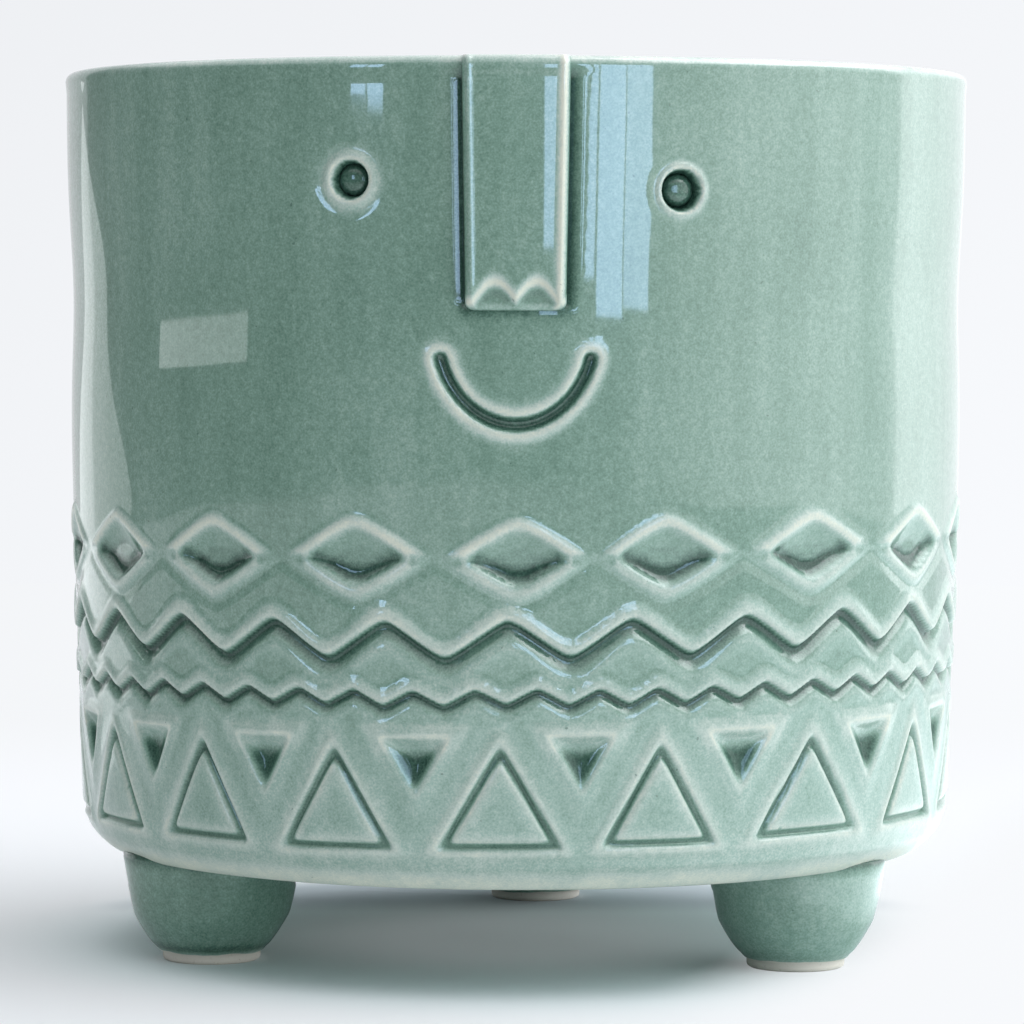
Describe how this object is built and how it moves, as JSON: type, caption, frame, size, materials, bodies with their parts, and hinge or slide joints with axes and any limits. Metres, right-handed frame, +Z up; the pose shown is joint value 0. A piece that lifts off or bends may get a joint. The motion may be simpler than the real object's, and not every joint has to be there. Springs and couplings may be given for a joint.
{
  "type": "face planter",
  "caption": "Round glazed stoneware pot on stubby feet, open at the top, with a raised nose, eye sockets, a smile and stamped diamond, zigzag and triangle bands.",
  "frame": {"origin": "on the ground, on the pot's axis", "axes": "+Z up along the pot's axis, the face looks along -Y, +X is to the right of someone who looks at the face"},
  "size_m": [0.1514, 0.1538, 0.146],
  "materials": {
    "glaze": "glossy grey-green celadon glaze, pale where it breaks over edges and dark where it pools",
    "floor_glaze": "the same glossy glaze on the base slab",
    "bead_glaze": "the same glaze, pooled dark in the eye sockets",
    "foot_glaze": "glossy glaze, with bare off-white clay on the lowest 1.6 mm"
  },
  "bodies": {
    "root": {"pot_wall": "glaze", "pot_floor": "floor_glaze", "nose": "glaze", "eye_bead_left": "bead_glaze", "eye_bead_right": "bead_glaze", "foot_front_left": "foot_glaze", "foot_front_right": "foot_glaze", "foot_rear": "foot_glaze"}
  },
  "joints": []
}
